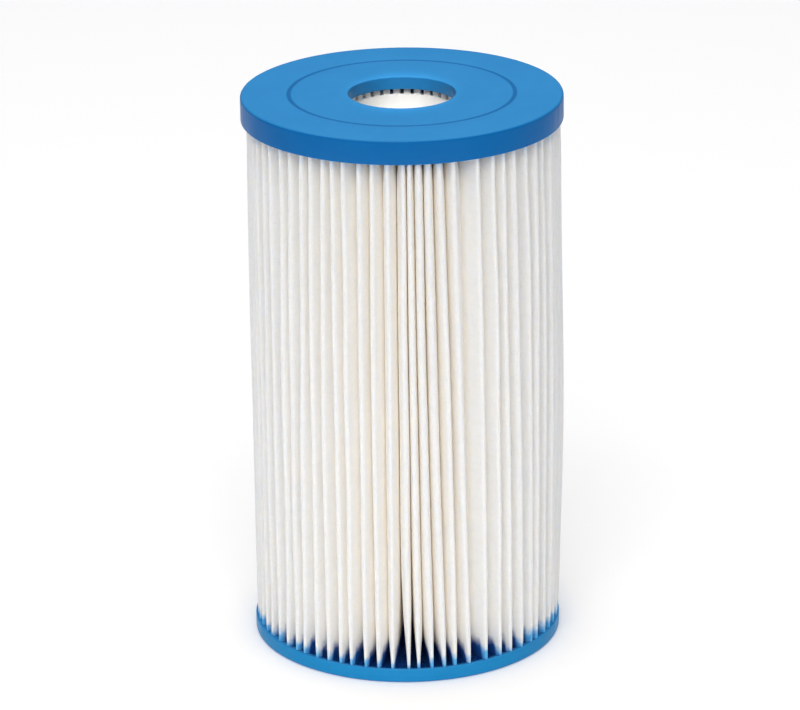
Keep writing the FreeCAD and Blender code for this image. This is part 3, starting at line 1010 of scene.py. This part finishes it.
def make_cage_half(name, node, foot, rings_below, rings_above, slots, material):
    """One half: rings of blank wall, rows of windows from height foot up, and more blank wall."""
    wall = TubeWall()
    pairs = window_cell()
    columns = [2 * math.pi * column / CAGE_COLUMNS for column in range(CAGE_COLUMNS)]
    breaks = cell_breaks()
    across = [-x for x in breaks] + breaks[:0:-1]
    angles = [phi + x / CAGE_OUTER for phi in columns for x in across]
    for row in range(CAGE_ROWS):
        for phi in columns:
            add_cell(wall, pairs, phi, foot + CELL_HEIGHT * (row + 0.5))
    head = foot + CELL_HEIGHT * CAGE_ROWS
    add_rings(wall, angles, rings_below + [(foot, *CAGE_WALL)], slots)
    add_rings(wall, angles, [(head, *CAGE_WALL)] + rings_above, slots)
    obj = wall.solid(name)
    obj.data.materials.append(material)
    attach(obj, "root")
    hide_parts(node)


def make_cage(material):
    """Both halves: the lower one ends in a socket, and the upper one's spigot stands in it."""
    socket = (SOCKET_RADIUS, CAGE_OUTER)
    spigot = (CAGE_INNER, SPIGOT_RADIUS)
    socket_floor = CAGE_JOINT_LOW - CAGE_STEP
    slots_low = (BOTTOM_RESIN + SLOT_REACH - SLOT_HEIGHT, BOTTOM_RESIN + SLOT_REACH)
    slots_high = (TOP_RESIN - SLOT_REACH, TOP_RESIN - SLOT_REACH + SLOT_HEIGHT)
    make_cage_half(
        "cage_low",
        "cage_lower_half",
        socket_floor - CAGE_BLANK + CAGE_RING / 2 - CAGE_ROWS * CELL_HEIGHT,
        [(height, *CAGE_WALL) for height in (CAGE_FOOT, *slots_low)],
        [
            (socket_floor - CAGE_STEP, *CAGE_WALL),
            (socket_floor, *socket),
            (CAGE_JOINT_HIGH, *socket),
        ],
        slots_low,
        material,
    )
    make_cage_half(
        "cage_high",
        "cage_upper_half",
        CAGE_JOINT_HIGH + CAGE_BLANK - CAGE_RING / 2,
        [
            (CAGE_JOINT_LOW, *spigot),
            (CAGE_JOINT_HIGH, *spigot),
            (CAGE_JOINT_HIGH + CAGE_STEP, *CAGE_WALL),
        ],
        [(height, *CAGE_WALL) for height in (*slots_high, CAGE_HEAD)],
        slots_high,
        material,
    )


# ------------ side seam

SEAM_LEVELS = 140  # rows of points up the seam
BEAD_POINTS = 11  # points round the bead in a row
BEAD_HALF = 1.25  # half width of the glue squeezed out over the sheet's cut edges
BEAD_HEIGHT = 0.75  # how far it stands out
BEAD_BASE = 0.06  # and where that starts, past the cut edges

# How the bead's width, height and place vary up the seam: waves, each a size, a length and a phase.
WIDTH_WAVES = ((0.16, 47, 0.3), (0.12, 17, 1.9), (0.07, 6.1, 4.0))
HEIGHT_WAVES = ((0.14, 61, 2.2), (0.1, 13, 0.4), (0.05, 5.3, 1.1))
PLACE_WAVES = ((0.15, 83, 1.0), (0.06, 21, 3.0))


def uneven(heights, waves):
    """A sum of sine waves up the seam."""
    turns = 2 * math.pi * heights
    return sum(size * np.sin(turns / length + phase) for size, length, phase in waves)


def make_seam(material):
    """Glue between the sheet's end legs, squeezed out into an uneven bead along their edges."""
    heights = np.linspace(CLOTH_LOW, CLOTH_HIGH, SEAM_LEVELS)
    wide = BEAD_HALF + uneven(heights, WIDTH_WAVES)
    tall = BEAD_HEIGHT + uneven(heights, HEIGHT_WAVES)
    middle = uneven(heights, PLACE_WAVES)
    turns = np.linspace(0, math.pi, BEAD_POINTS)
    neck = [(-SEAM_HALF, SEAM_REACH), (-SEAM_HALF, SEAM_START)]
    neck += [(SEAM_HALF, SEAM_START), (SEAM_HALF, SEAM_REACH)]
    points = []
    for row, height in enumerate(heights):
        across = middle[row] + wide[row] * np.cos(turns)
        out = SEAM_REACH + BEAD_BASE + tall[row] * np.sin(turns)
        points += [(x, y, height) for x, y in [*zip(across, out), *neck]]
    columns = BEAD_POINTS + len(neck)
    faces = grid_faces(SEAM_LEVELS, columns, closed_columns=True)
    faces.append(tuple(range(columns))[::-1])
    faces.append(tuple(range(columns * (SEAM_LEVELS - 1), columns * SEAM_LEVELS)))
    obj = mesh_object("seam_bead", points, faces)
    sharpen(obj)
    obj.data.materials.append(material)
    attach(obj, "root")
    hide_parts("side_seam")


# ------------ assembly

# The two caps' sides are lit and shaded copies of one plastic: the upper one's deep blue is painted
# shade, and the lower one's, nearly as pale as its face, is painted light from the floor.
cap_plastic = {
    "top": cap_material("cap_plastic", (0.001, 0.12, 0.38, 1), (0.002, 0.145, 0.43, 1)),
    "bottom": cap_material("cap_plastic_pale", (0.01, 0.23, 0.52, 1), (0.016, 0.265, 0.58, 1)),
}
resin = resin_material()
make_cloth()
make_seam(glue_material())
make_cage(cage_material())
for side in ("top", "bottom"):
    make_cap(side, cap_plastic[side])
    make_resin(side, resin)


# ------------ floor, light and camera

FLOOR_HALF = 6000.0  # half the floor's width
SPOT_SOFTNESS = 0.4  # share of a spot light's beam that fades towards its edge
SPOT_LAMP = 0.01  # radius of its lamp, in metres


def place_light(name, light, place, aim, power, colour):
    """Puts a light at a place, turned towards another, out of the camera's sight."""
    light.energy = power
    light.color = colour
    obj = link(bpy.data.objects.new(name, light))
    obj.location = place
    obj.rotation_mode = "QUATERNION"
    obj.rotation_quaternion = (Vector(aim) - Vector(place)).to_track_quat("-Z", "Y")
    obj.visible_camera = False


def area_light(name, place, aim, size, power, colour):
    """A soft rectangular light, with its size in metres and its power in watts."""
    light = bpy.data.lights.new(name, "AREA")
    light.shape = "RECTANGLE"
    light.size, light.size_y = size
    place_light(name, light, place, aim, power, colour)


def spot_light(name, place, aim, reach, power, colour):
    """A narrow beam that lights a disc of radius reach round the place aimed at."""
    light = bpy.data.lights.new(name, "SPOT")
    light.spot_size = 2 * math.atan(reach / math.dist(place, aim))
    light.spot_blend = SPOT_SOFTNESS
    light.shadow_soft_size = SPOT_LAMP
    place_light(name, light, place, aim, power, colour)


def make_floor():
    """A wide flat floor at height 0, which the cartridge stands on."""
    corners = FLOOR_HALF * np.array([(-1, -1, 0), (1, -1, 0), (1, 1, 0), (-1, 1, 0)])
    floor = mesh_object("floor", corners, [(0, 1, 2, 3)], shade_smooth=False)
    floor.data.materials.append(floor_material())


def make_lights():
    """A dim sky, and soft lights from the front and above."""
    world = bpy.data.worlds.new("studio")
    world.use_nodes = True
    background = world.node_tree.nodes["Background"]
    background.inputs["Color"].default_value = (0.83, 0.85, 1.0, 1)
    background.inputs["Strength"].default_value = 0.13
    bpy.context.scene.world = world

    # One light for the cloth, one for the upper cap's face and one for the floor behind.
    middle = (0, 0, HEIGHT * MM / 2)
    area_light("key", (-0.25, -2.9, 3.3), middle, (2.5, 2.5), 67, (1.0, 0.965, 0.91))
    area_light("top", (-0.1, -0.2, 3.2), (-0.1, 0.1, 0), (3.8, 3.8), 74, (1.0, 1.0, 1.0))
    area_light("back", (0, 1.7, 3.0), (0, 1.3, 0), (2.5, 2.5), 26, (1.0, 1.0, 1.0))

    # A low card for the lower cap's side, and a narrow beam down the bore for the cage's inside.
    area_light("card", (-0.05, -0.42, 0.04), (0, 0, 0.04), (1.0, 0.06), 0.6, (1.0, 0.97, 0.93))
    spot_light("core", (-0.1, -1.15, 1.6), (0, 0, HEIGHT * MM), 0.02, 150, (1.0, 0.98, 0.95))


def make_camera():
    """The camera stands 2 m in front, looking 20 degrees down, with a long lens."""
    camera = bpy.data.cameras.new("camera")
    camera.sensor_width = 36.0
    camera.lens = 196.88
    camera.clip_start = 0.05
    camera.clip_end = 30
    obj = link(bpy.data.objects.new("camera", camera))
    obj.location = (0, -1.8517, 0.8148)
    down, roll, yaw = math.radians(20.287), math.radians(-0.675), math.radians(-0.068)
    obj.rotation_mode = "QUATERNION"
    facing = Euler((math.pi / 2 - down, 0, -yaw)).to_quaternion()
    obj.rotation_quaternion = facing @ Euler((0, 0, roll)).to_quaternion()
    bpy.context.scene.camera = obj


make_floor()
make_lights()
make_camera()
bpy.context.scene.view_settings.view_transform = "Standard"

# Light has to bounce many times to brighten the deep gaps between the folds.
bpy.context.scene.cycles.max_bounces = 20
bpy.context.scene.cycles.diffuse_bounces = 20
